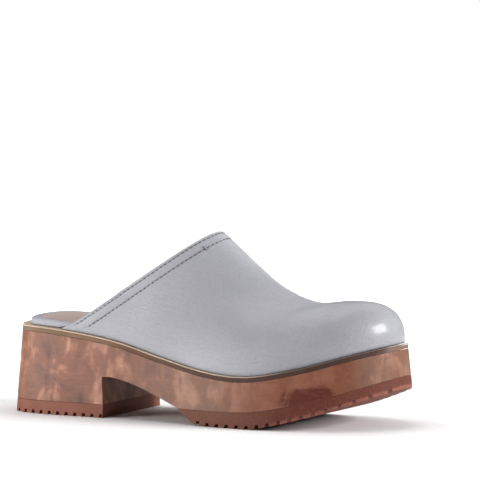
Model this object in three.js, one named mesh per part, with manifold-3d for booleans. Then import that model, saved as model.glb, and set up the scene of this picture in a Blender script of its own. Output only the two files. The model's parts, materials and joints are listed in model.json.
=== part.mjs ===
// A platform clog for the right foot: a leather mule upper on a one-piece wooden sole and heel,
// with ridged rubber treads below and a padded footbed above.
// Units are millimetres. +X points to the toe, +Z up, and -Y is the outer (little toe) side.
// The origin is on the ground, under the middle of the clog.
import * as THREE from 'three';
import { mergeVertices } from 'three/addons/utils/BufferGeometryUtils.js';
import Module from 'manifold-3d';

const wasm = await Module();
wasm.setup();

// ---- Driving dimensions ----
const GAP = 0.2; // between layers that lie on each other
const EDGE_GAP = 1.4; // between the insole's edge and the inside of the upper
const SHELL_GAP = 0.3; // between the layers of the upper
const CLEARANCE = 0.3; // round the nails

// Sole outline on the ground: heel tip, along the outer side, toe tip, back along the inner side.
const GROUND_OUTLINE = [
  [-134, 0], [-131.5, -18], [-123, -32], [-104, -37], [-65, -38], [-20, -40.5],
  [25, -48], [70, -47], [105, -34], [124.5, -12],
  [131, 10], [123, 33], [96, 46], [55, 47.5], [5, 42.5],
  [-40, 38.5], [-75, 37], [-105, 35.5], [-123, 29], [-131.5, 16],
];
const OUTLINE_STEPS = 72;
const TOP_STEPS = 24; // stations along the curved upper profile
const FLARE_HEEL = 0.075; // narrowing of the sole per millimetre of height, at the heel tip
const FLARE_TOE = 0.1; // the same at the toe tip
const PRISM_TOP = 66; // above every part of the sole

// Side profiles of the wood, x and z: the upper face, then the underside ahead of the heel.
const WOOD_TOP = [
  [-145, 51.5], [-100, 50.5], [-55, 45.2], [-20, 36.8], [15, 30.2], [45, 28.6], [80, 35], [112, 44.4], [140, 51.5],
];
const ARCH_LINE = [[-61, 25.5], [-52, 25.6], [-35.5, 21.5], [-20, 15.8], [-4, 9.6]];
const FOREPART_LINE = [[-4, 9.6], [20, 9.6], [50, 10.8], [80, 16.5], [106, 24], [140, 36]];
const HEEL_BREAST_X = -59.5;
const BREAST_LEAN = 1.5; // how far the breast leans back over its height

const TREAD_THICKNESS = 8.3;
const TREAD_HEEL_BEVEL = 11; // the forepart tread's sloping rear edge
const GROUND_LINE = [[5, 2], [20, 0], [48, 0], [80, 7], [106, 15.5], [140, 28.5]];
const TOOTH_DEPTH = 2.3;
const TOOTH_LAND = 0.55; // share of each tooth's pitch that touches the ground
const HEEL_TOOTH_PITCH = 6.4;
const FOREPART_TOOTH_PITCH = 7.1;

const MIDSOLE_THICKNESS = 2.4;
const SLIP_SOLE_THICKNESS = 0.8;
const LEATHER = 1.1;
const LINING = 0.8;
const PUFF = 0.9;
const BOARD = 1;
const FOAM = 0.9;
const COVER = 0.7;
const WRAP_TOP_WIDTH = 6; // grey leather turned over the footbed's top edge
const WRAP_FRONT_X = -62; // the wrap runs forward inside the upper to here

const FEATHER_INSET = 1.6; // from the sole's top edge to the outside of the leather
const HEEL_REST_INSET = 5; // from the sole's top edge to the footbed, behind the upper
const LASTING_MARGIN = 7; // leather turned in under the insole board
const TOPLINE_FOOT_X = -92; // where the topline comes down to the sole
const FACING_T = 0.075; // share of the upper's length that the facing covers
const PUFF_T = 0.6; // where the toe puff starts
const RIDGE = [[2.5, 117], [28, 98], [50, 82.5], [74, 74.8], [98, 76.8]]; // crest of the vamp, x and z
const RIDGE_Y_END = 6; // the crest drifts towards the big toe
const POLE_T = 0.62; // share of the upper's length at which the ribs meet on the toe
const ARCH_POWER = 2.35; // fullness of the arch at the topline
const TOE_POWER = 2.5; // fullness of the toe
const TOPLINE_SAG = 0.93; // below 1, the topline sags forward of a straight line
const RIBS = 24;
const RIB_STEPS = 7;

const NAILS = [[-108, 0], [-84, 12], [-84, -12], [30, 0], [62, 14], [62, -12]]; // x and y
const NAIL_RADIUS = 0.9;
const NAIL_LENGTH = 16;
const NAIL_HEAD_RADIUS = 2.6;
const NAIL_HEAD = 0.4;
const NAIL_HEAD_DEPTH = 0.15; // the head lies this far below the board's upper face

// ---- Helpers ----
const mix = (a, b, t) => a + (b - a) * t;

function smooth(from, to, value) {
  const t = Math.min(1, Math.max(0, (value - from) / (to - from)));
  return t * t * (3 - 2 * t);
}

function profileCurve(points) {
  return new THREE.SplineCurve(points.map(([x, z]) => new THREE.Vector2(x, z)));
}

// Height of a side profile at x, from a finely sampled spline.
function heightOf(points) {
  const samples = profileCurve(points).getPoints(200);
  return (x) => {
    let i = 1;
    while (i < samples.length - 1 && samples[i].x < x) i += 1;
    const a = samples[i - 1];
    const b = samples[i];
    return mix(a.y, b.y, (x - a.x) / (b.x - a.x));
  };
}

const woodTopAt = heightOf(WOOD_TOP);
const groundLineAt = heightOf(GROUND_LINE);
const groundAt = (x) => Math.max(0, groundLineAt(Math.max(x, GROUND_LINE[0][0])));
const forepartAt = heightOf(FOREPART_LINE);
const slipTopOffset = GAP + MIDSOLE_THICKNESS + GAP + SLIP_SOLE_THICKNESS;
const restOffset = slipTopOffset + GAP; // where the upper and the footbed stand
const boardOffset = restOffset + LEATHER + GAP;
const foamOffset = boardOffset + BOARD + GAP;
const coverOffset = foamOffset + FOAM + GAP;

function toGeometry(positions, triangles) {
  const geometry = new THREE.BufferGeometry();
  geometry.setAttribute('position', new THREE.Float32BufferAttribute(positions, 3));
  geometry.setIndex(triangles);
  const merged = mergeVertices(geometry, 1e-3);
  const index = merged.getIndex().array;
  const kept = [];
  for (let i = 0; i < index.length; i += 3) {
    const [a, b, c] = [index[i], index[i + 1], index[i + 2]];
    if (a !== b && b !== c && c !== a) kept.push(a, b, c);
  }
  merged.setIndex(kept);
  return merged;
}

function toSolid(geometry) {
  geometry.deleteAttribute('normal');
  geometry.deleteAttribute('uv');
  const merged = mergeVertices(geometry, 1e-4);
  return new wasm.Manifold(new wasm.Mesh({
    numProp: 3,
    vertProperties: merged.getAttribute('position').array,
    triVerts: merged.getIndex().array,
  }));
}

function fromSolid(solid) {
  const { vertProperties, triVerts } = solid.getMesh();
  return toGeometry(Array.from(vertProperties), Array.from(triVerts));
}

const group = new THREE.Group();

function addPiece(name, geometry, color, roughness, metalness = 0) {
  geometry.computeVertexNormals();
  const material = new THREE.MeshStandardMaterial({ color, roughness, metalness });
  const mesh = new THREE.Mesh(geometry, material);
  mesh.name = name;
  group.add(mesh);
}

// ---- Sole outline ----
const groundCurve = new THREE.CatmullRomCurve3(
  GROUND_OUTLINE.map(([x, y]) => new THREE.Vector3(x, y, 0)),
  true,
  'centripetal',
);
groundCurve.arcLengthDivisions = 600;

const flareAt = (x) => mix(FLARE_HEEL, FLARE_TOE, smooth(-60, 120, x));

// A point of the sole's wall at height z, moved in by inset.
function wallPoint(s, z, inset) {
  const point = groundCurve.getPointAt(s);
  const tangent = groundCurve.getTangentAt(s);
  const distance = inset + flareAt(point.x) * z;
  return new THREE.Vector3(point.x - tangent.y * distance, point.y + tangent.x * distance, z);
}

// A closed solid inside the sole's flared wall, kept in by inset(x) and reaching from zLow to zHigh.
// Points that a deep inset would carry across a tight corner are left out.
function outlineSolid(inset, zLow = -10, zHigh = PRISM_TOP) {
  const shares = Array.from({ length: OUTLINE_STEPS }, (_, i) => i / OUTLINE_STEPS);
  const insetAt = (s) => inset(groundCurve.getPointAt(s).x);
  const wall = shares.map((s) => wallPoint(s, zHigh, 0));
  const kept = shares.filter((s) => {
    const point = wallPoint(s, zHigh, insetAt(s));
    return wall.every((other) => other.distanceTo(point) >= 0.99 * insetAt(s));
  });
  const rings = [zLow, zHigh].map((z) => kept.map((s) => wallPoint(s, z, insetAt(s))));
  const count = kept.length;
  const positions = rings.flat().flatMap((p) => [p.x, p.y, p.z]);
  const triangles = [];
  for (let i = 0; i < count; i += 1) {
    const j = (i + 1) % count;
    triangles.push(i, j, j + count, i, j + count, i + count);
  }
  for (const [a, b, c] of THREE.ShapeUtils.triangulateShape(rings[0], [])) triangles.push(c, b, a);
  for (const [a, b, c] of THREE.ShapeUtils.triangulateShape(rings[1], [])) {
    triangles.push(a + count, b + count, c + count);
  }
  return toSolid(toGeometry(positions, triangles));
}

// A solid as wide as the clog, from a closed side profile in x and z.
function profileSolid(points) {
  const halfWidth = 80;
  const shape = new THREE.Shape(points.map(([x, z]) => new THREE.Vector2(x, z)));
  const geometry = new THREE.ExtrudeGeometry(shape, { depth: 2 * halfWidth, bevelEnabled: false });
  geometry.rotateX(Math.PI / 2);
  geometry.translate(0, halfWidth, 0);
  return toSolid(geometry);
}

// The wood's upper profile raised by an offset, with the same stations for every layer.
function topLine(offset, xFrom = -140, xTo = 140) {
  const stations = Array.from({ length: TOP_STEPS + 1 }, (_, i) => mix(-140, 140, i / TOP_STEPS));
  const inside = stations.filter((x) => x > xFrom && x < xTo);
  return [xFrom, ...inside, xTo].map((x) => [x, woodTopAt(x) + offset]);
}

// A layer that follows the wood's upper face, from one height above it to another.
function layerSolid(inset, low, high, xFrom = -140, xTo = 140) {
  const lower = topLine(low, xFrom, xTo);
  const upper = topLine(high, xFrom, xTo).reverse();
  return outlineSolid(inset).intersect(profileSolid([...lower, ...upper]));
}

// ---- Wooden sole and treads ----
const splinePoints = (points, steps) => profileCurve(points).getPoints(steps).map((p) => [p.x, p.y]);

// A cylinder square to the wood's upper face at (x, y), between two depths below the insole board's top.
function nailCylinder([x, y], radius, from, to, sides = 8) {
  const step = 1;
  const slope = (woodTopAt(x + step) - woodTopAt(x - step)) / (2 * step);
  const geometry = new THREE.CylinderGeometry(radius, radius, to - from, sides);
  geometry.rotateX(Math.PI / 2);
  geometry.translate(0, 0, -(from + to) / 2);
  geometry.rotateY(-Math.atan(slope));
  geometry.translate(x, y, woodTopAt(x) + boardOffset + BOARD);
  return toSolid(geometry);
}

function drill(solid) {
  return NAILS.reduce(
    (rest, place) => rest.subtract(nailCylinder(place, NAIL_RADIUS + CLEARANCE, -5, NAIL_LENGTH + CLEARANCE)),
    solid,
  );
}

function woodenSole() {
  const rubberTop = TREAD_THICKNESS + GAP;
  const profile = [
    ...topLine(0).reverse(),
    [-140, rubberTop],
    [HEEL_BREAST_X, rubberTop],
    [HEEL_BREAST_X - BREAST_LEAN, ARCH_LINE[0][1]],
    ...splinePoints(ARCH_LINE, 10).slice(1, -1),
    ...splinePoints(FOREPART_LINE, 16).map(([x, z]) => [x, z + GAP]),
  ];
  return drill(outlineSolid(() => 0).intersect(profileSolid(profile)));
}

// The toothed lower edge of a tread: flat lands at groundZ(x) and notches between them.
function toothLine(xFrom, xTo, pitch, groundZ) {
  const count = Math.round((xTo - xFrom) / pitch);
  const step = (xTo - xFrom) / count;
  const slope = 0.09 * step;
  const line = [];
  for (let i = 0; i < count; i += 1) {
    const start = xFrom + i * step;
    const end = start + TOOTH_LAND * step;
    line.push([start, groundZ(start)], [end, groundZ(end)]);
    for (const x of [end + slope, start + step - slope]) line.push([x, groundZ(x) + TOOTH_DEPTH]);
  }
  return line;
}

function heelTopPiece() {
  const rear = -140;
  const profile = [
    ...toothLine(rear, HEEL_BREAST_X, HEEL_TOOTH_PITCH, () => 0),
    [HEEL_BREAST_X, 0],
    [HEEL_BREAST_X, TREAD_THICKNESS],
    [rear, TREAD_THICKNESS],
  ];
  return outlineSolid(() => 0).intersect(profileSolid(profile));
}

function forepartOutsole() {
  const front = 140;
  const rear = FOREPART_LINE[0][0];
  const profile = [
    ...toothLine(rear + TREAD_HEEL_BEVEL, front, FOREPART_TOOTH_PITCH, groundAt),
    [front, groundAt(front)],
    ...splinePoints(FOREPART_LINE, 16).reverse(),
  ];
  return outlineSolid(() => 0).intersect(profileSolid(profile));
}

// ---- Footbed ----
const liningInset = FEATHER_INSET + LEATHER + SHELL_GAP + PUFF + SHELL_GAP + LINING + EDGE_GAP;
const behindUpper = (x) => 1 - smooth(WRAP_FRONT_X + 1, WRAP_FRONT_X + 13, x);
const boardInset = (x) => mix(FEATHER_INSET + LEATHER + EDGE_GAP, HEEL_REST_INSET + COVER + GAP, behindUpper(x));
const foamInset = (x) => mix(liningInset, HEEL_REST_INSET + COVER + GAP, behindUpper(x));

function insoleBoard() {
  const board = drill(layerSolid(boardInset, boardOffset, boardOffset + BOARD));
  const recess = NAIL_HEAD_DEPTH + NAIL_HEAD + NAIL_HEAD_DEPTH;
  return NAILS.reduce(
    (rest, place) => rest.subtract(nailCylinder(place, NAIL_HEAD_RADIUS + CLEARANCE, -5, recess, 12)),
    board,
  );
}

// Leather strip round the open heel of the footbed: turned under the board, up its side and over the foam.
function footbedWrap() {
  const inside = () => HEEL_REST_INSET + COVER;
  const topOpening = () => HEEL_REST_INSET + WRAP_TOP_WIDTH;
  const underOpening = () => HEEL_REST_INSET + LASTING_MARGIN;
  const rear = -140;
  const shell = layerSolid(() => HEEL_REST_INSET, restOffset, coverOffset + COVER, rear, WRAP_FRONT_X);
  return shell
    .subtract(layerSolid(inside, restOffset + LEATHER, coverOffset, rear, 0))
    .subtract(layerSolid(topOpening, foamOffset, coverOffset + COVER + 5, rear, 0))
    .subtract(layerSolid(underOpening, 0, boardOffset + BOARD, rear, 0))
    .subtract(layerSolid(() => 0, 0, boardOffset, TOPLINE_FOOT_X - 1, 0));
}

function sockCover() {
  const inset = (x) => mix(liningInset, HEEL_REST_INSET + WRAP_TOP_WIDTH + EDGE_GAP, behindUpper(x));
  return layerSolid(inset, coverOffset, coverOffset + COVER);
}

function insoleNail(place) {
  const head = nailCylinder(place, NAIL_HEAD_RADIUS, NAIL_HEAD_DEPTH, NAIL_HEAD_DEPTH + NAIL_HEAD, 12);
  return head.add(nailCylinder(place, NAIL_RADIUS, NAIL_HEAD_DEPTH + NAIL_HEAD / 2, NAIL_LENGTH));
}

// ---- Upper ----
function paramAtX(x, from, to) {
  let [low, high] = [from, to];
  const rising = groundCurve.getPointAt(to).x > groundCurve.getPointAt(from).x;
  for (let i = 0; i < 40; i += 1) {
    const middle = (low + high) / 2;
    if (groundCurve.getPointAt(middle).x < x === rising) low = middle;
    else high = middle;
  }
  return (low + high) / 2;
}

function toeTipParam() {
  let best = 0;
  for (let i = 0; i <= 400; i += 1) {
    if (groundCurve.getPointAt(i / 400).x > groundCurve.getPointAt(best).x) best = i / 400;
  }
  return best;
}

const TOE_S = toeTipParam();
const FOOT_S = [paramAtX(TOPLINE_FOOT_X, 0, TOE_S), paramAtX(TOPLINE_FOOT_X, TOE_S, 1)];
const ridgeCurve = new THREE.CatmullRomCurve3(RIDGE.map(([x, z], i) => (
  new THREE.Vector3(x, RIDGE_Y_END * (i / (RIDGE.length - 1)) ** 1.5, z)
)));

// Feather line: where the leather turns under, at share t of the way from the topline to the toe tip.
function featherPoint(side, t, extraInset = 0, lift = 0) {
  const s = mix(FOOT_S[side], TOE_S, t);
  const z = woodTopAt(groundCurve.getPointAt(s).x) + restOffset;
  const point = wallPoint(s, z, FEATHER_INSET + extraInset);
  point.z = woodTopAt(point.x) + restOffset + lift;
  return point;
}

// A point of the upper's outer surface: rib t, and angle phi from the sole (0) to the crest (a right angle).
function upperPoint(side, t, phi) {
  const foot = featherPoint(side, t);
  const crest = ridgeCurve.getPointAt(Math.min(1, t / POLE_T));
  const power = 2 / mix(ARCH_POWER, TOE_POWER, smooth(0, 0.8, t));
  const across = Math.max(0, Math.cos(phi)) ** power;
  const rise = Math.sin(phi) ** power;
  const along = mix(rise ** TOPLINE_SAG, 1 - across, smooth(0, 0.7, t));
  return new THREE.Vector3(
    mix(foot.x, crest.x, along),
    mix(crest.y, foot.y, across),
    mix(foot.z, crest.z, rise),
  );
}

// The upper's outer surface as a grid: one row per rib, from the outer feather line over the crest
// to the inner one, with a unit normal at every point.
const quarterAngles = Array.from({ length: RIB_STEPS + 1 }, (_, j) => (j / RIB_STEPS) * (Math.PI / 2));
const domeColumns = [
  ...quarterAngles.map((phi) => ({ side: 0, phi })),
  ...quarterAngles.slice(0, -1).reverse().map((phi) => ({ side: 1, phi })),
];
const rowShares = [
  0, FACING_T / 2,
  ...Array.from({ length: RIBS + 1 }, (_, i) => mix(FACING_T, 1, i / RIBS)),
];
const domeGrid = rowShares.map((t) => domeColumns.map(({ side, phi }) => upperPoint(side, t, phi)));
const FACING_ROW = 2;
const TOE_ROW = rowShares.length - 1;
const PUFF_ROW = rowShares.findIndex((t) => t >= PUFF_T);

const pointKey = (point) => point.toArray().map((value) => value.toFixed(3)).join();

function gridNormals(grid) {
  const sums = new Map();
  const addFace = (...corners) => {
    const normal = new THREE.Triangle(...corners).getNormal(new THREE.Vector3());
    normal.multiplyScalar(new THREE.Triangle(...corners).getArea());
    for (const corner of corners) {
      const key = pointKey(corner);
      sums.set(key, (sums.get(key) ?? new THREE.Vector3()).add(normal));
    }
  };
  for (let i = 0; i < grid.length - 1; i += 1) {
    for (let j = 0; j < grid[i].length - 1; j += 1) {
      addFace(grid[i][j], grid[i + 1][j], grid[i + 1][j + 1]);
      addFace(grid[i][j], grid[i + 1][j + 1], grid[i][j + 1]);
    }
  }
  return grid.map((row) => row.map((point) => sums.get(pointKey(point)).clone().normalize()));
}

const domeNormals = gridNormals(domeGrid);

// A value of a grid at a row that may lie between two ribs.
function betweenRows(grid, row, column) {
  const low = Math.min(Math.floor(row), grid.length - 2);
  return grid[low][column].clone().lerp(grid[low + 1][column], row - low);
}

function shareAtRow(row) {
  const low = Math.min(Math.floor(row), rowShares.length - 2);
  return mix(rowShares[low], rowShares[low + 1], row - low);
}

// A shell of the upper between two depths below its outer surface, over the given rows.
// A margin turns it in under the insole board; lift is how far it stands above the slip sole.
function upperShell({ depthOut, depthIn, rows, margin = 0, lift = 0 }) {
  const marginInsets = margin > 0 ? [margin, margin / 2] : [];
  const columns = [
    ...marginInsets.map((inset) => ({ side: 0, inset })),
    ...domeColumns.map((column, dome) => ({ ...column, dome })),
    ...[...marginInsets].reverse().map((inset) => ({ side: 1, inset })),
  ];
  const place = ({ side, inset, phi, dome }, row, inside) => {
    const t = shareAtRow(row);
    const under = inside && margin > 0 ? LEATHER : 0;
    if (inset) return featherPoint(side, t, inset, under);
    const depth = inside ? depthIn(t) : depthOut(t);
    const point = betweenRows(domeGrid, row, dome);
    const normal = betweenRows(domeNormals, row, dome).normalize();
    if (phi === 0) {
      const above = betweenRows(domeGrid, row, dome === 0 ? 1 : dome - 1);
      point.lerp(above, (lift + under) / (above.z - point.z));
      normal.setZ(0).normalize();
    }
    return point.addScaledVector(normal, -depth);
  };
  const width = columns.length;
  const inner = rows.length * width;
  const positions = [false, true].flatMap((inside) => (
    rows.flatMap((row) => columns.flatMap((column) => place(column, row, inside).toArray()))
  ));
  const triangles = [];
  const quad = (a, b, c, d) => triangles.push(a, b, c, a, c, d);
  for (let i = 0; i < rows.length - 1; i += 1) {
    for (let j = 0; j < width - 1; j += 1) {
      const a = i * width + j;
      quad(a, a + width, a + width + 1, a + 1);
      quad(inner + a + 1, inner + a + width + 1, inner + a + width, inner + a);
    }
    const first = i * width;
    const last = first + width - 1;
    quad(first + width, first, inner + first, inner + first + width);
    quad(last, last + width, inner + last + width, inner + last);
  }
  const last = (rows.length - 1) * width;
  const open = rows.at(-1) < TOE_ROW;
  for (let j = 0; j < width - 1; j += 1) {
    quad(j, j + 1, inner + j + 1, inner + j);
    if (open) quad(last + j + 1, last + j, inner + last + j, inner + last + j + 1);
  }
  return toGeometry(positions, triangles);
}

const rowRange = (from, to) => {
  const rows = [from];
  for (let row = Math.floor(from) + 1; row < to; row += 1) rows.push(row);
  rows.push(to);
  return rows;
};
const puffSpace = (t) => smooth(PUFF_T - 0.12, PUFF_T - 0.02, t) * (PUFF + SHELL_GAP);
const liningDepth = (t) => LEATHER + SHELL_GAP + puffSpace(t);

// ---- Pieces ----
const GREY = 0xa0a0a5;
addPiece('heel_top_piece', fromSolid(heelTopPiece()), 0x6b4738, 0.75);
addPiece('forepart_outsole', fromSolid(forepartOutsole()), 0x6b4738, 0.75);
addPiece('wooden_sole', fromSolid(woodenSole()), 0x9a6a52, 0.45);
const midsole = layerSolid(() => 0, GAP, GAP + MIDSOLE_THICKNESS);
addPiece('midsole', fromSolid(drill(midsole)), 0x5c3f39, 0.7);
const slipSole = layerSolid(() => 0, slipTopOffset - SLIP_SOLE_THICKNESS, slipTopOffset);
addPiece('slip_sole', fromSolid(drill(slipSole)), 0xbcb2ae, 0.8);
const fillerInset = () => HEEL_REST_INSET + LASTING_MARGIN + GAP;
const filler = layerSolid(fillerInset, restOffset, restOffset + LEATHER);
addPiece('bottom_filler', fromSolid(drill(filler)), 0xa47c55, 0.9);
addPiece('insole_board', fromSolid(insoleBoard()), 0xb79f7e, 0.9);
NAILS.forEach((place, i) => {
  addPiece(`insole_nail_${i + 1}`, fromSolid(insoleNail(place)), 0x8f9094, 0.4, 0.9);
});
addPiece('footbed_foam', fromSolid(layerSolid(foamInset, foamOffset, foamOffset + FOAM)), 0xd8cfc0, 0.95);
addPiece('footbed_wrap', fromSolid(footbedWrap()), GREY, 0.6);
addPiece('sock_cover', fromSolid(sockCover()), 0xb8a49c, 0.7);
addPiece('vamp', upperShell({
  depthOut: () => 0,
  depthIn: () => LEATHER,
  rows: rowRange(0, TOE_ROW),
  margin: LASTING_MARGIN,
}), GREY, 0.55);
const boardTop = foamOffset - restOffset;
addPiece('toe_puff', upperShell({
  depthOut: () => LEATHER + SHELL_GAP,
  depthIn: () => LEATHER + SHELL_GAP + PUFF,
  rows: rowRange(PUFF_ROW, TOE_ROW),
  lift: boardTop,
}), 0xcfc7b4, 0.9);
addPiece('vamp_lining', upperShell({
  depthOut: (t) => liningDepth(t),
  depthIn: (t) => liningDepth(t) + LINING,
  rows: rowRange(FACING_ROW + 0.1, TOE_ROW),
  lift: boardTop,
}), 0xb8a49c, 0.8);
addPiece('topline_facing', upperShell({
  depthOut: (t) => liningDepth(t),
  depthIn: (t) => liningDepth(t) + LINING,
  rows: rowRange(0, FACING_ROW),
  lift: boardTop,
}), GREY, 0.6);

// The origin goes to the middle of the clog's length and width, on the ground.
group.updateMatrixWorld(true);
const bounds = new THREE.Box3().setFromObject(group, true);
const middle = bounds.getCenter(new THREE.Vector3());
group.position.set(-middle.x, -middle.y, -bounds.min.z);

export default group;
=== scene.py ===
"""Platform clog, right foot: finished wood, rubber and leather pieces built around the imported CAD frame.

Lengths in the shape functions are millimetres, measured as the CAD source measures them. placed() turns
them into metres in the frame. Everything else is in metres. +X points to the toe, -Y is the outer side.
"""

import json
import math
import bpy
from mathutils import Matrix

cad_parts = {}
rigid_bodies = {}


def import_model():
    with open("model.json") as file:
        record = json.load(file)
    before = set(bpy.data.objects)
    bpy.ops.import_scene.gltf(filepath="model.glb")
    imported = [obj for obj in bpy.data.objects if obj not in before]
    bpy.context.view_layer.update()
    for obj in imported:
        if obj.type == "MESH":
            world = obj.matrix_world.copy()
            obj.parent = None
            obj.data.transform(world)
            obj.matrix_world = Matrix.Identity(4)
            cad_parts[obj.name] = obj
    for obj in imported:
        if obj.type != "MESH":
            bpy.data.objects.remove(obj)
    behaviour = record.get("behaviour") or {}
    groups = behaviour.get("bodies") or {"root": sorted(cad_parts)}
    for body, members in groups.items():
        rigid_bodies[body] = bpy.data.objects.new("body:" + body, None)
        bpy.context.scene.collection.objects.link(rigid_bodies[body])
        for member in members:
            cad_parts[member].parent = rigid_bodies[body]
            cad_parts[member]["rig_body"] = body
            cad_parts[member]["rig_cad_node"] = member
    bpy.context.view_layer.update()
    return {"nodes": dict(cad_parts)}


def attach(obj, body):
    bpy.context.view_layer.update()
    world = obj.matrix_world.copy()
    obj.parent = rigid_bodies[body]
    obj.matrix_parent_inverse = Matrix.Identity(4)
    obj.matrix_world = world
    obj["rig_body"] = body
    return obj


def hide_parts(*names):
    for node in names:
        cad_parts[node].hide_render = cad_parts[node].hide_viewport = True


bl_info = {
    "name": "Platform Clog",
    "version": (1, 0, 0),
    "blender": (4, 5, 0),
    "location": "3D View > Sidebar > Clog",
    "description": "Builds the finished pieces of a leather and wood platform clog around its CAD frame",
    "category": "Add Mesh",
}

import bmesh
import bpy
import numpy as np
from mathutils import Matrix, Vector, noise

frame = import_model()
NODES = frame["nodes"]
BODY = "root"
MM = 0.001


# ---- Shape of the clog, as the CAD source gives it ----
SHIFT = Vector((2.778, 0.640, 0.0))
GROUND_OUTLINE = (
    (-134, 0), (-131.5, -18), (-123, -32), (-104, -37), (-65, -38), (-20, -40.5),
    (25, -48), (70, -47), (105, -34), (124.5, -12),
    (131, 10), (123, 33), (96, 46), (55, 47.5), (5, 42.5),
    (-40, 38.5), (-75, 37), (-105, 35.5), (-123, 29), (-131.5, 16),
)
WOOD_TOP = (
    (-145, 51.5), (-100, 50.5), (-55, 45.2), (-20, 36.8), (15, 30.2),
    (45, 28.6), (80, 35), (112, 44.4), (140, 51.5),
)
RIDGE = ((2.5, 117), (28, 98), (50, 82.5), (74, 74.8), (98, 76.8))
RIDGE_Y_END = 6.0
FLARE_HEEL, FLARE_TOE = 0.075, 0.1
FEATHER_INSET = 1.6
HEEL_REST_INSET = 5.0
TOPLINE_FOOT_X = -92.0
POLE_T = 0.62
ARCH_POWER, TOE_POWER = 2.35, 2.5
TOPLINE_SAG = 0.93
REST, BOARD_BASE, COVER_TOP = 3.8, 5.1, 8.1  # heights above the wood's upper face


def mix(a, b, t):
    return a + (b - a) * t


def smooth(low, high, value):
    t = min(1.0, max(0.0, (value - low) / (high - low)))
    return t * t * (3 - 2 * t)


def cubic(p0, p1, p2, p3, spans, t):
    """A point of the Catmull-Rom segment from p1 to p2, for the given knot spans."""
    d0, d1, d2 = spans
    m1 = ((p1 - p0) / d0 - (p2 - p0) / (d0 + d1) + (p2 - p1) / d1) * d1
    m2 = ((p2 - p1) / d1 - (p3 - p1) / (d1 + d2) + (p3 - p2) / d2) * d1
    return p1 + m1 * t + (-3 * p1 + 3 * p2 - 2 * m1 - m2) * t**2 + (2 * p1 - 2 * p2 + m1 + m2) * t**3


def spline(points, closed=False, centripetal=True, steps=60):
    """A dense polyline through the points."""
    points = [np.array(p, float) for p in points]
    count = len(points)
    if closed:
        ring = [points[-1], *points, points[0], points[1]]
    elif centripetal:
        ring = [2 * points[0] - points[1], *points, 2 * points[-1] - points[-2]]
    else:
        ring = [points[0], *points, points[-1]]
    line = []
    for i in range(count if closed else count - 1):
        p = ring[i:i + 4]
        spans = (1, 1, 1)
        if centripetal:
            spans = [np.linalg.norm(p[k + 1] - p[k]) ** 0.5 for k in range(3)]
        line += [cubic(*p, spans, k / steps) for k in range(steps)]
    line.append(ring[1] if closed else points[-1])
    return np.array(line)


class Track:
    """A polyline that is read by its share of length."""

    def __init__(self, line):
        self.line = line
        steps = np.linalg.norm(np.diff(line, axis=0), axis=1)
        self.share = np.concatenate(([0], np.cumsum(steps))) / steps.sum()
        self.length = steps.sum()

    def at(self, share):
        return np.array([np.interp(share, self.share, axis) for axis in self.line.T])

    def tangent(self, share, step=0.0008):
        ahead, behind = self.at((share + step) % 1), self.at((share - step) % 1)
        return (ahead - behind) / np.linalg.norm(ahead - behind)


ground = Track(spline(GROUND_OUTLINE, closed=True))
ridge = Track(spline([(x, RIDGE_Y_END * (i / 4) ** 1.5, z) for i, (x, z) in enumerate(RIDGE)]))
wood_line = spline(WOOD_TOP, centripetal=False)
TOE_SHARE = float(ground.share[ground.line[:, 0].argmax()])


def wood_top(x):
    return float(np.interp(x, wood_line[:, 0], wood_line[:, 1]))


def share_at_x(x, side):
    """Where the outline passes x, on the outer side (0) or the inner side (1)."""
    low, high = (0.0, TOE_SHARE) if side == 0 else (1.0, TOE_SHARE)
    for _ in range(40):
        middle = (low + high) / 2
        low, high = (middle, high) if ground.at(middle)[0] < x else (low, middle)
    return (low + high) / 2


FOOT_SHARE = (share_at_x(TOPLINE_FOOT_X, 0), share_at_x(TOPLINE_FOOT_X, 1))


def wall_point(share, z, inset):
    """A point inside the sole's flared wall."""
    point, tangent = ground.at(share), ground.tangent(share)
    distance = inset + mix(FLARE_HEEL, FLARE_TOE, smooth(-60, 120, point[0])) * z
    return Vector((point[0] - tangent[1] * distance, point[1] + tangent[0] * distance, z))


def seat_point(share, inset, height):
    """A point at a height above the wood's upper face, inset from the sole's top edge."""
    z = wood_top(ground.at(share)[0]) + height
    point = wall_point(share, z, inset)
    point.z = wood_top(point.x) + height
    return point


def upper_point(side, t, phi):
    """The upper's outer surface: rib t, and angle phi from the sole (0) to the crest (a right angle)."""
    foot = seat_point(mix(FOOT_SHARE[side], TOE_SHARE, t), FEATHER_INSET, REST)
    crest = ridge.at(min(1, t / POLE_T))
    power = 2 / mix(ARCH_POWER, TOE_POWER, smooth(0, 0.8, t))
    across = max(0.0, math.cos(phi)) ** power
    rise = math.sin(phi) ** power
    along = mix(rise**TOPLINE_SAG, 1 - across, smooth(0, 0.7, t))
    return Vector((
        mix(foot.x, crest[0], along),
        mix(crest[1], foot.y, across),
        mix(foot.z, crest[2], rise),
    ))


def placed(point):
    """Millimetres of the shape functions to metres of the frame."""
    return (point + SHIFT) * MM


# ---- Sizes and colours ----
def tone(red, green, blue):
    """Display values from 0 to 255 as linear colour."""
    def linear(value):
        value /= 255
        return value / 12.92 if value <= 0.04045 else ((value + 0.055) / 1.055) ** 2.4
    return (linear(red), linear(green), linear(blue))


def length_property(name, description, default):
    return bpy.props.FloatProperty(
        name=name, description=description, default=default, min=0.0, precision=5, unit="LENGTH",
    )


def colour_property(name, description, default):
    return bpy.props.FloatVectorProperty(
        name=name, description=description, default=default, size=3, min=0.0, max=1.0, subtype="COLOR",
    )


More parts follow.
